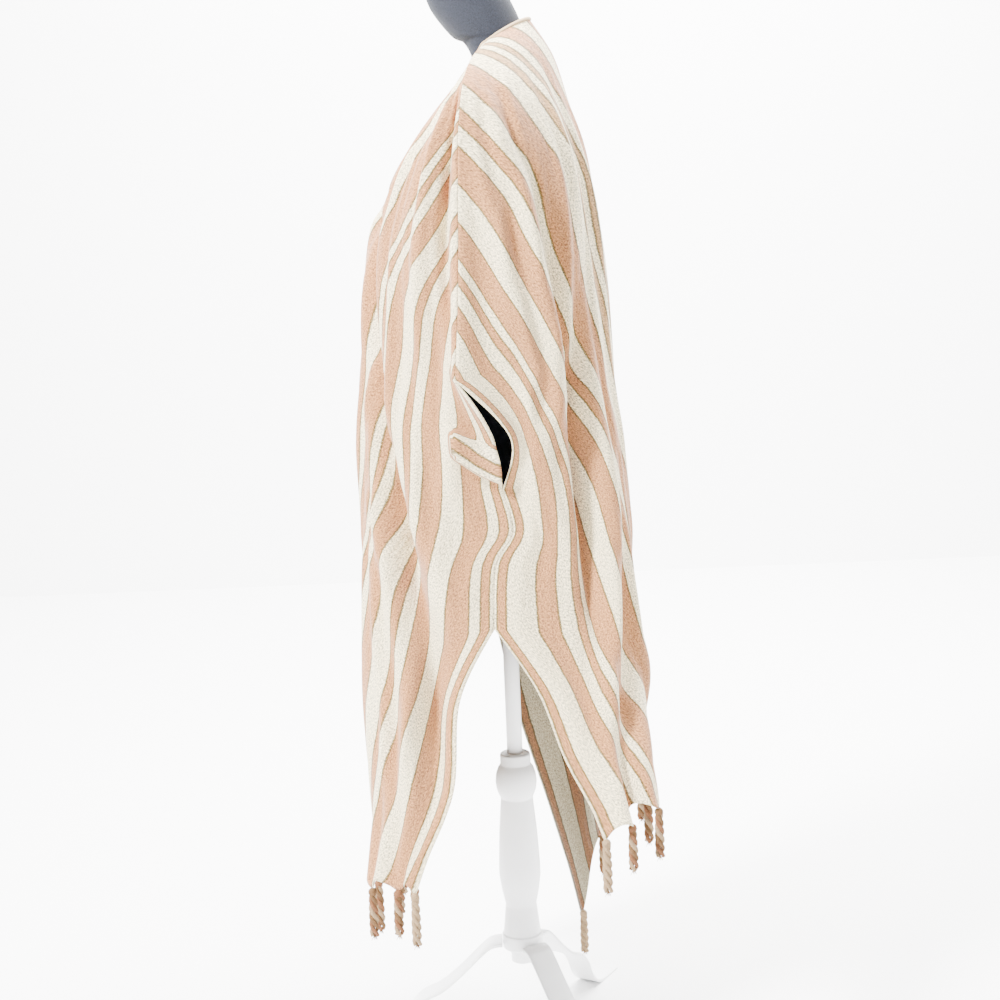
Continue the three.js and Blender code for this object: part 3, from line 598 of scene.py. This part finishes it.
def make_panel(panel, settings, materials):
    """One panel's cloth: a grid laid on both halves' points, with its weave as a UV map."""
    columns, rows = settings.columns, settings.rows
    grids = half_grids(panel, rows, columns)
    bm = bmesh.new()
    bmesh.ops.create_grid(bm, x_segments=2 * columns, y_segments=rows, size=1)
    if panel == "front":
        split_neck_v(bm, rows)
    uv = bm.loops.layers.uv.new("Cloth")
    places = {}
    for v in bm.verts:
        middle = sum(f.calc_center_median().x for f in v.link_faces)
        side = 1 if middle >= 0 else -1
        places[v] = (side, round((1 - v.co.y) / 2 * rows), round(abs(v.co.x) * columns))
    for v, (side, row, column) in places.items():
        v.co = Vector(grids[side][0][row, column])
    for f in bm.faces:
        for loop in f.loops:
            side, row, column = places[loop.vert]
            if column == 0:
                side = 1 if any(places[v][0] > 0 and places[v][2] for v in f.verts) else -1
            _, across, down = grids[side]
            loop[uv].uv = (side * across[row, column], down[row, column])
    obj = finish_object(f"{panel}_cloth", bm, materials)
    if panel == "back":
        obj.data.flip_normals()
    wall = obj.modifiers.new("Cloth wall", "SOLIDIFY")
    wall.thickness = settings.thickness
    wall.offset = 0
    # The inner shell takes the second, darker material: painted shade for the cloth's inside.
    wall.material_offset = 1
    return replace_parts(obj, f"{panel}_panel")


def sweep(bm, points, radius, sides, closed=False, turn=0.0, slot=0, taper=None):
    """A tube along points, from rings that are carried along without twisting.

    turn twists it on purpose, in radians a point. taper gives the radius's share along it.
    """
    points = [Vector(p) for p in points]
    n = len(points)
    rings = []
    up = Vector((0, 0, 1))
    previous = None
    for i, p in enumerate(points):
        a = points[(i - 1) % n] if closed or i else p
        b = points[(i + 1) % n] if closed or i < n - 1 else p
        d = (b - a).normalized()
        if previous is not None:
            x = (previous - d * previous.dot(d)).normalized()
        elif abs(d.dot(up)) > UPRIGHT:
            x = d.orthogonal().normalized()
        else:
            x = d.cross(up).normalized()
        previous = x
        y = d.cross(x)
        scale = radius * (taper(i / (n - 1)) if taper else 1)
        ring = []
        for k in range(sides):
            w = 2 * math.pi * k / sides + turn * i
            ring.append(bm.verts.new(p + x * math.cos(w) * scale + y * math.sin(w) * scale))
        rings.append(ring)
    pairs = list(zip(rings, rings[1:])) + ([(rings[-1], rings[0])] if closed else [])
    faces = []
    for a, b in pairs:
        shift = 0
        if closed and a is rings[-1]:
            shift = min(range(sides), key=lambda s: sum(
                (a[k].co - b[(k + s) % sides].co).length for k in range(sides)))
        for k in range(sides):
            m = (k + 1) % sides
            faces.append(bm.faces.new((a[k], a[m], b[(m + shift) % sides],
                                       b[(k + shift) % sides])))
    if not closed:
        faces.append(bm.faces.new(rings[0][::-1]))
        faces.append(bm.faces.new(rings[-1]))
    for f in faces:
        f.material_index = slot


# Materials

def new_material(name):
    """A material with its nodes, its links and its shader."""
    m = bpy.data.materials.new(name)
    m.use_nodes = True
    return m, m.node_tree.nodes, m.node_tree.links, m.node_tree.nodes["Principled BSDF"]


def math_node(nodes, links, operation, a, b=None):
    """A Math node on sockets or numbers; returns its output."""
    n = nodes.new("ShaderNodeMath")
    n.operation = operation
    for socket, value in zip(n.inputs, (a, b)):
        if isinstance(value, bpy.types.NodeSocket):
            links.new(value, socket)
        elif value is not None:
            socket.default_value = value
    return n.outputs[0]


def noise_node(nodes, links, vector, scale, detail, stretch=None):
    """Noise on a vector output, stretched where its pattern is longer one way."""
    noise = nodes.new("ShaderNodeTexNoise")
    noise.inputs["Scale"].default_value = scale
    noise.inputs["Detail"].default_value = detail
    if stretch:
        mapping = nodes.new("ShaderNodeMapping")
        mapping.inputs["Scale"].default_value = stretch
        links.new(vector, mapping.inputs["Vector"])
        vector = mapping.outputs[0]
    links.new(vector, noise.inputs["Vector"])
    return noise.outputs[0]


def range_node(nodes, links, value, from_span, to_span):
    """Maps one span of values to another and clips it; returns its output."""
    n = nodes.new("ShaderNodeMapRange")
    n.inputs["From Min"].default_value, n.inputs["From Max"].default_value = from_span
    n.inputs["To Min"].default_value, n.inputs["To Max"].default_value = to_span
    links.new(value, n.inputs[0])
    return n.outputs[0]


def scaled_colour(nodes, links, colour, tone):
    """A colour, as a socket or as numbers, made lighter and darker by a tone output."""
    n = nodes.new("ShaderNodeVectorMath")
    n.operation = "SCALE"
    if isinstance(colour, bpy.types.NodeSocket):
        links.new(colour, n.inputs[0])
    else:
        n.inputs[0].default_value = colour
    links.new(tone, n.inputs["Scale"])
    return n.outputs[0]


def bump_node(nodes, links, height, strength, distance, normal=None):
    """A Bump node, on top of another one's normal if there is one; returns its output."""
    n = nodes.new("ShaderNodeBump")
    n.inputs["Strength"].default_value = strength
    n.inputs["Distance"].default_value = distance
    links.new(height, n.inputs["Height"])
    if normal:
        links.new(normal, n.inputs["Normal"])
    return n.outputs[0]


def stripe_group(settings, panel):
    """A node group that gives the plain stripe colour at a distance from the centre line."""
    group = bpy.data.node_groups.new(f"Stripes {panel}", "ShaderNodeTree")
    group.interface.new_socket("Place", in_out="INPUT", socket_type="NodeSocketFloat")
    group.interface.new_socket("Colour", in_out="OUTPUT", socket_type="NodeSocketColor")
    nodes, links = group.nodes, group.links
    start = nodes.new("NodeGroupInput")
    end = nodes.new("NodeGroupOutput")
    ramp = nodes.new("ShaderNodeValToRGB")
    ramp.color_ramp.interpolation = "CONSTANT"
    total = sum(w for _, w in STRIPES[panel])
    links.new(math_node(nodes, links, "DIVIDE", start.outputs[0], total * MM), ramp.inputs[0])
    links.new(ramp.outputs[0], end.inputs[0])
    stops = []
    at = 0
    for colour, width in reversed(STRIPES[panel]):
        stops.append((at / total, colour))
        at += width
    elements = ramp.color_ramp.elements
    while len(elements) < len(stops):
        elements.new(0.5)
    for e, (place, _) in zip(elements, stops):
        e.position = place
    for e, (_, colour) in zip(elements, stops):
        e.color = (*getattr(settings, colour), 1)
    return group


def cloth_material(settings, panel, side, shade):
    """Striped, crinkled cotton. shade below 1 darkens it as painted shade, for the cloth's shaded
    inner face.
    """
    m, nodes, links, shader = new_material(f"Striped cotton {panel} {side}")
    group = stripe_group(settings, panel)
    uv = nodes.new("ShaderNodeUVMap")
    uv.uv_map = "Cloth"
    uv = uv.outputs[0]

    # The place across the cloth, a little unsteady, as hand-laid yarn is
    unsteady = noise_node(nodes, links, uv, WOBBLE["scale"], 2)
    unsteady = math_node(nodes, links, "SUBTRACT", unsteady, 0.5)
    unsteady = math_node(nodes, links, "MULTIPLY", unsteady, WOBBLE["size"])
    parts = nodes.new("ShaderNodeSeparateXYZ")
    links.new(uv, parts.inputs[0])
    place = math_node(nodes, links, "ABSOLUTE", parts.outputs[0])
    place = math_node(nodes, links, "ADD", place, unsteady)

    # The stripe there, and a thin line where the stripes beside it differ
    samples = []
    for offset in (0, -LINE["half"], LINE["half"]):
        g = nodes.new("ShaderNodeGroup")
        g.node_tree = group
        links.new(math_node(nodes, links, "ADD", place, offset), g.inputs[0])
        samples.append(g.outputs[0])
    differ = nodes.new("ShaderNodeVectorMath")
    differ.operation = "DISTANCE"
    links.new(samples[1], differ.inputs[0])
    links.new(samples[2], differ.inputs[1])
    line = math_node(nodes, links, "GREATER_THAN", differ.outputs["Value"], LINE["least"])
    worn = noise_node(nodes, links, uv, LINE["wear_scale"], 1)
    worn = range_node(nodes, links, worn, LINE["wear_from"], LINE["wear_to"])
    base = nodes.new("ShaderNodeMix")
    base.data_type = "RGBA"
    links.new(math_node(nodes, links, "MULTIPLY", line, worn), base.inputs[0])
    links.new(samples[0], base.inputs[6])
    base.inputs[7].default_value = (*settings.line, 1)

    # Uneven yarn: light flecks and darker slubs
    slub = noise_node(nodes, links, uv, 1, 3, stretch=SLUB["stretch"])
    # shade scales the tone down here: painted shade on the inner face.
    tone = range_node(nodes, links, slub, NOISE_SPAN, [shade * end for end in SLUB["tone"]])
    links.new(scaled_colour(nodes, links, base.outputs[2], tone), shader.inputs["Base Color"])
    shader.inputs["Roughness"].default_value = 0.92
    shader.inputs["Sheen Weight"].default_value = 0.25
    shader.inputs["Sheen Roughness"].default_value = 0.6
    shader.inputs["Specular IOR Level"].default_value = 0.15

    # Crinkle and weave
    crinkle = noise_node(nodes, links, uv, 1, 4, stretch=CRINKLE["stretch"])
    crinkle = bump_node(nodes, links, crinkle, CRINKLE["strength"], CRINKLE["distance"])
    weave = noise_node(nodes, links, uv, 1, 2, stretch=WEAVE["stretch"])
    weave = bump_node(nodes, links, weave, WEAVE["strength"], WEAVE["distance"], crinkle)
    links.new(weave, shader.inputs["Normal"])
    return m


def plain_material(name, colour, roughness, scale, spread=0.0, strength=0.0, distance=0.001,
                   sheen=0.0):
    """One colour with a fine grain. spread is how uneven its tone is, strength how rough."""
    m, nodes, links, shader = new_material(name)
    shader.inputs["Base Color"].default_value = (*colour, 1)
    shader.inputs["Roughness"].default_value = roughness
    shader.inputs["Sheen Weight"].default_value = sheen
    space = nodes.new("ShaderNodeTexCoord")
    grain = noise_node(nodes, links, space.outputs["Object"], scale, 3)
    tone = range_node(nodes, links, grain, NOISE_SPAN, (1 - spread, 1 + spread))
    links.new(scaled_colour(nodes, links, colour, tone), shader.inputs["Base Color"])
    if strength:
        links.new(bump_node(nodes, links, grain, strength, distance), shader.inputs["Normal"])
    return m


# Settings and operators

class CoverUpSettings(bpy.types.PropertyGroup):
    """Sizes and colours of the cover-up and its dress form"""
    columns: bpy.props.IntProperty(
        name="Columns", description="Cloth columns from the centre line to a side edge",
        default=110, min=20, max=120)
    rows: bpy.props.IntProperty(
        name="Rows", description="Cloth rows from the shoulder to the hem",
        default=196, min=28, max=240)
    thickness: bpy.props.FloatProperty(
        name="Cloth thickness", description="Thickness of the woven cloth",
        default=0.0011, unit="LENGTH", subtype="DISTANCE")
    band_radius: bpy.props.FloatProperty(
        name="Band radius", description="Radius of the rolled neckline band",
        default=0.003, unit="LENGTH", subtype="DISTANCE")
    knot_radius: bpy.props.FloatProperty(
        name="Knot radius", description="Radius of a tassel's knot",
        default=0.0055, unit="LENGTH", subtype="DISTANCE")
    tassel_length: bpy.props.FloatProperty(
        name="Tassel length", description="Length of a tassel below its knot",
        default=0.058, unit="LENGTH", subtype="DISTANCE")
    pink: bpy.props.FloatVectorProperty(
        name="Pink stripes", description="Colour of the salmon pink stripes",
        default=COLOURS["pink"], subtype="COLOR", min=0, max=1)
    cream: bpy.props.FloatVectorProperty(
        name="Cream stripes", description="Colour of the cream stripes",
        default=COLOURS["cream"], subtype="COLOR", min=0, max=1)
    tan: bpy.props.FloatVectorProperty(
        name="Tan stripes", description="Colour of the two narrow tan stripes at the back",
        default=COLOURS["tan"], subtype="COLOR", min=0, max=1)
    line: bpy.props.FloatVectorProperty(
        name="Gold lines", description="Colour of the thin lines between the stripes",
        default=COLOURS["line"], subtype="COLOR", min=0, max=1)
    slate: bpy.props.FloatVectorProperty(
        name="Form cover", description="Colour of the dress form's cloth cover",
        default=COLOURS["slate"], subtype="COLOR", min=0, max=1)
    paint: bpy.props.FloatVectorProperty(
        name="Paint", description="Colour of the form's painted cap, pole, post and legs",
        default=COLOURS["paint"], subtype="COLOR", min=0, max=1)


class COVERUP_OT_cloth(bpy.types.Operator):
    """Build the front and back panels of striped cloth"""
    bl_idname = "coverup.cloth"
    bl_label = "Cloth Panels"

    def execute(self, context):
        settings = context.scene.coverup
        for panel in PANELS:
            make_panel(panel, settings, [
                # The second material darkens the inner face as painted shade.
                cloth_material(settings, panel, "right side", 1),
                cloth_material(settings, panel, "wrong side", INSIDE_PAINTED_SHADE)])
        return {"FINISHED"}


def neck_line(radius):
    """The middle of the rolled band, just off the neck's edge."""
    off = radius + BAND["gap"]

    def beside(panel, side, q, t, in_q, in_t):
        """A point off the cloth's edge at q, t, away from a point inside the cloth."""
        p = cloth_points(panel, side, q, t)
        away = p - cloth_points(panel, side, in_q, in_t)
        return Vector(p + away / np.linalg.norm(away) * off)

    def half(side):
        out = []
        steps = BAND["front_steps"]
        for i in range(steps + 1):
            t = NECK_V_ROW * (1 - BAND["front_reach"] * i / steps)
            p = beside("front", side, 0, t, BAND["inward"], t + BAND["inward_down"])
            if (p.x - AXIS.x) * side > radius * BAND["foot_gap"]:
                out.append(p)
        return out

    back = []
    steps = BAND["back_steps"]
    for i in range(BAND["back_skips"], 2 * steps - BAND["back_skips"] + 1):
        s = 1 - i / steps
        back.append(beside("back", 1 if s >= 0 else -1, abs(s), 0, abs(s), BAND["inward"]))
    return half(1) + back + half(-1)[::-1]


class COVERUP_OT_band(bpy.types.Operator):
    """Build the rolled band round the neck"""
    bl_idname = "coverup.band"
    bl_label = "Neckline Band"

    def execute(self, context):
        settings = context.scene.coverup
        bm = bmesh.new()
        sweep(bm, neck_line(settings.band_radius), settings.band_radius, BAND["sides"],
              closed=True)
        m = plain_material("Rolled band", BAND_COLOUR, 0.9, scale=900, spread=0.18,
                           strength=0.5, distance=0.0008, sheen=0.2)
        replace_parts(finish_object("neck_band", bm, [m]), "neckline_band")
        return {"FINISHED"}


class COVERUP_OT_tassels(bpy.types.Operator):
    """Build the knotted, twisted tassels of both hems"""
    bl_idname = "coverup.tassels"
    bl_label = "Tassels"

    def execute(self, context):
        settings = context.scene.coverup
        yarns = [plain_material(name, colour, 0.95, scale=900, spread=spread,
                                strength=1.0, distance=0.0015)
                 for name, colour, spread in YARNS]
        for panel in PANELS:
            number = 1
            for side in (1, -1):
                for share in (KNOTS + (0,) if side > 0 else KNOTS):
                    self.tassel(settings, panel, number, side, share, yarns)
                    number += 1
        return {"FINISHED"}

    def tassel(self, settings, panel, number, side, share, yarns):
        """A knot, its twisted locks and their loose ends, below one place of a hem."""
        top = Vector(cloth_points(panel, side, min(share, LAST_KNOT), LAST))
        uneven = TASSEL["uneven"] * math.sin(number * TASSEL["change"])
        length = settings.tassel_length + uneven
        bm = bmesh.new()
        self.knot(bm, top, settings.knot_radius, CREAM_YARN if share == 1 else number % 2)
        for k in range(TASSEL["locks"]):
            slot = (k + number) % len(yarns) if share < 1 else CREAM_YARN
            self.lock(bm, top, settings.knot_radius, length, number, k, slot)
        end = top - Vector((0, 0, settings.knot_radius + length * TASSEL["ends_from"]))
        for k in range(LOOSE["count"]):
            self.loose_end(bm, end, k)
        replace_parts(finish_object(f"tassel_{panel}_{number}_yarn", bm, yarns),
                    f"tassel_{panel}_{number}")

    def knot(self, bm, top, radius, slot):
        """A lumpy knot just under the hem."""
        made = bmesh.ops.create_uvsphere(
            bm, u_segments=20, v_segments=12, radius=radius,
            matrix=Matrix.Translation(top - Vector((0, 0, radius * KNOT_SHAPE["drop"])))
            @ Matrix.Diagonal((1, 1, KNOT_SHAPE["tall"], 1)))
        for v in made["verts"]:
            lump = math.sin(v.co.z * KNOT_SHAPE["waves_up"] + v.co.x * KNOT_SHAPE["waves_across"])
            v.co += (v.co - top) * KNOT_SHAPE["lumps"] * lump
        for f in bm.faces:
            f.material_index = slot

    def lock(self, bm, top, radius, length, number, k, slot):
        """One of the locks that twist round each other."""
        points = []
        for i in range(TASSEL["steps"] + 1):
            f = i / TASSEL["steps"]
            a = number + 2 * math.pi * (k / TASSEL["locks"] + TASSEL["turns"] * f)
            orbit = TASSEL["orbit"] * (1 + TASSEL["spread"] * f)
            points.append(top + Vector((orbit * math.cos(a), orbit * math.sin(a),
                                        -radius - f * length)))

        def share(f):
            return (TASSEL["thin"] + TASSEL["bulge"] * math.sin(f * math.pi)
                    + TASSEL["ripple"] * math.sin(f * TASSEL["ripples"]))

        sweep(bm, points, TASSEL["lock_radius"], 8, turn=TASSEL["twist"], slot=slot, taper=share)

    def loose_end(self, bm, end, k):
        """One of the frayed yarn ends below the locks."""
        a = LOOSE["angle"] * k
        reach = LOOSE["reach"][0] + LOOSE["reach"][1] * ((k * 7 % 5) / 5)
        drop = LOOSE["drop"][0] + LOOSE["drop"][1] * ((k * 3 % 7) / 7)
        points = [end + Vector((reach * math.cos(a) * w, reach * math.sin(a) * w, -drop * w))
                  for w in LOOSE["places"]]
        sweep(bm, points, LOOSE["radius"], 4, slot=k % 3,
              taper=lambda f: 1 - LOOSE["thinning"] * f)


class COVERUP_OT_form(bpy.types.Operator):
    """Build the dress form's body, neck cap, pole, post and legs"""
    bl_idname = "coverup.form"
    bl_label = "Dress Form"

    def execute(self, context):
        settings = context.scene.coverup
        cover = plain_material("Form cover", settings.slate, 0.9, scale=700, spread=0.45,
                               strength=0.5, distance=0.0008, sheen=0.05)
        paint = plain_material("White paint", settings.paint, 0.4, scale=40, spread=0.02,
                               strength=0.05, distance=0.0005)
        self.body(cover)
        self.cap(paint)
        self.pole(paint)
        self.post(paint)
        for number in (1, 2, 3):
            self.leg(number, paint)
        return {"FINISHED"}

    def body(self, material):
        """Rounded rings through the body's sections, bridged and closed at both ends."""
        t = np.linspace(0, len(BODY) - 1, BODY_STEPS + 1)
        z, y, wide, deep = (along([r[key] for r in BODY], t)
                            for key in ("z", "y", "wide", "deep"))
        power = 2 / BODY_POWER
        bm = bmesh.new()
        rings = []
        for i in range(BODY_STEPS + 1):
            ring = bmesh.ops.create_circle(bm, segments=BODY_SIDES, radius=1)["verts"]
            for v in ring:
                x = math.copysign(abs(v.co.x) ** power, v.co.x) * wide[i]
                depth = math.copysign(abs(v.co.y) ** power, v.co.y) * deep[i] + y[i]
                v.co = AXIS + Vector((x, depth, z[i])) * MM
            rings.append(ring)
        for pair in zip(rings, rings[1:]):
            edges = []
            for ring in pair:
                edges += [e for e in {e for v in ring for e in v.link_edges}
                          if all(v in ring for v in e.verts)]
            bmesh.ops.bridge_loops(bm, edges=edges)
        bmesh.ops.holes_fill(bm, edges=[e for e in bm.edges if e.is_boundary])
        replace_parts(finish_object("form_cover", bm, [material]), "form_body")

    def turned(self, name, node, profile, material, top=0.0, middle=0.0):
        """Spin a profile of radius, height about the upright through a depth, in mm."""
        bm = bmesh.new()
        closed = [(0, profile[0][1])] + list(profile) + [(0, profile[-1][1])]
        verts = [bm.verts.new(AXIS + Vector((r, middle, z + top)) * MM) for r, z in closed]
        edges = [bm.edges.new(pair) for pair in zip(verts, verts[1:])]
        bmesh.ops.spin(bm, geom=verts + edges, cent=AXIS + Vector((0, middle, 0)) * MM,
                       axis=(0, 0, 1), angle=2 * math.pi, steps=TURNED_STEPS, use_merge=True)
        bmesh.ops.remove_doubles(bm, verts=bm.verts[:], dist=SAME)
        obj = finish_object(name, bm, [material])
        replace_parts(obj, node)
        return obj

    def cap(self, material):
        self.turned("neck_cap", "form_neck_cap", CAP, material, top=BODY[-1]["z"] + JOIN_GAP,
                    middle=BODY[-1]["y"])

    def pole(self, material):
        ends = (POST[-1][1] + JOIN_GAP, BODY[0]["z"] - JOIN_GAP)
        self.turned("pole", "form_pole", [(POLE_RADIUS, z) for z in ends], material)

    def post(self, material):
        soften_edges(self.turned("turned_post", "form_post", POST, material), EDGE_ROUND, 3)

    def leg(self, number, material):
        """A strap bent along the leg's middle line, the first one to the garment's front."""
        t = np.linspace(0, len(LEG) - 1, LEG_STEPS + 1)
        reach = along([p[0] for p in LEG], t)
        height = along([p[1] for p in LEG], t)
        angle = -math.pi / 2 + 2 * math.pi * (number - 1) / 3
        out = Vector((math.cos(angle), math.sin(angle), 0))
        across = Vector((-out.y, out.x, 0)) * LEG_HALF_WIDTH
        bm = bmesh.new()
        bmesh.ops.create_grid(bm, x_segments=4, y_segments=LEG_STEPS, size=1)
        for v in bm.verts:
            i = round((v.co.y + 1) / 2 * LEG_STEPS)
            v.co = AXIS + (out * reach[i] + across * v.co.x + Vector((0, 0, height[i]))) * MM
        bmesh.ops.solidify(bm, geom=bm.faces[:], thickness=LEG_THICKNESS * MM)
        obj = finish_object(f"strap_leg_{number}", bm, [material])
        soften_edges(obj, EDGE_ROUND, 2)
        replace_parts(obj, f"form_leg_{number}")


class COVERUP_OT_stage(bpy.types.Operator):
    """Set up the floor, backdrop, lights and camera"""
    bl_idname = "coverup.stage"
    bl_label = "Studio"

    def execute(self, context):
        pale = plain_material("Pale studio", STUDIO["colour"], 0.9, scale=3)
        floor = self.plane("studio_floor", pale, Matrix.Identity(4))
        wall = self.plane("studio_wall", pale, Matrix.Translation(STUDIO["wall"])
                          @ Matrix.Rotation(math.pi / 2, 4, "Y"))
        world = bpy.data.worlds.new("Studio")
        world.use_nodes = True
        world.node_tree.nodes["Background"].inputs[0].default_value = (1, 1, 1, 1)
        world.node_tree.nodes["Background"].inputs[1].default_value = STUDIO["world"]
        context.scene.world = world
        for light in LIGHTS:
            self.light(context, **light)
        self.camera(context)
        return {"FINISHED"}

    def plane(self, name, material, place):
        """One flat sheet of the studio."""
        bm = bmesh.new()
        bmesh.ops.create_grid(bm, x_segments=1, y_segments=1, size=STUDIO["half"], matrix=place)
        return finish_object(name, bm, [material])

    def light(self, context, name, place, aim, size, power):
        """A soft square lamp that is aimed at a point."""
        light = bpy.data.lights.new(name, "AREA")
        light.energy = power
        light.size = size
        obj = bpy.data.objects.new(name, light)
        obj.location = place
        obj.rotation_euler = (Vector(aim) - Vector(place)).to_track_quat("-Z", "Y").to_euler()
        context.scene.collection.objects.link(obj)

    def camera(self, context):
        """A camera on the wearer's left, tilted a little down and rolled as the photo's is."""
        camera = bpy.data.cameras.new("Camera")
        camera.sensor_width = CAMERA["sensor"]
        camera.lens = CAMERA["lens"]
        camera.shift_y = CAMERA["shift_y"]
        obj = bpy.data.objects.new("Camera", camera)
        level = Matrix.Rotation(math.pi / 2, 4, "Z") @ Matrix.Rotation(math.pi / 2, 4, "X")
        down = Matrix.Rotation(math.radians(-CAMERA["down"]), 4, "X")
        roll = Matrix.Rotation(math.radians(-CAMERA["roll"]), 4, "Z")
        place = Matrix.Translation(AXIS + Vector(CAMERA["place"]))
        obj.matrix_world = place @ level @ down @ roll
        context.scene.collection.objects.link(obj)
        context.scene.camera = obj


class COVERUP_PT_panel(bpy.types.Panel):
    """Cover-up tools in the sidebar"""
    bl_label = "Beach Cover-up"
    bl_idname = "COVERUP_PT_panel"
    bl_space_type = "VIEW_3D"
    bl_region_type = "UI"
    bl_category = "Cover-up"

    def draw(self, context):
        settings = context.scene.coverup
        for key in CoverUpSettings.__annotations__:
            self.layout.prop(settings, key)
        for operator in OPERATORS:
            self.layout.operator(operator.bl_idname)


OPERATORS = (COVERUP_OT_cloth, COVERUP_OT_band, COVERUP_OT_tassels, COVERUP_OT_form,
             COVERUP_OT_stage)


def register():
    bpy.utils.register_class(CoverUpSettings)
    bpy.types.Scene.coverup = bpy.props.PointerProperty(type=CoverUpSettings)
    for c in OPERATORS + (COVERUP_PT_panel,):
        bpy.utils.register_class(c)


def unregister():
    for c in (COVERUP_PT_panel,) + OPERATORS[::-1]:
        bpy.utils.unregister_class(c)
    del bpy.types.Scene.coverup
    bpy.utils.unregister_class(CoverUpSettings)


def main():
    """Build the piece by its operators."""
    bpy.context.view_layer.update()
    register()
    for step in ("cloth", "band", "tassels", "form", "stage"):
        getattr(bpy.ops.coverup, step)()


if __name__ == "__main__":
    main()
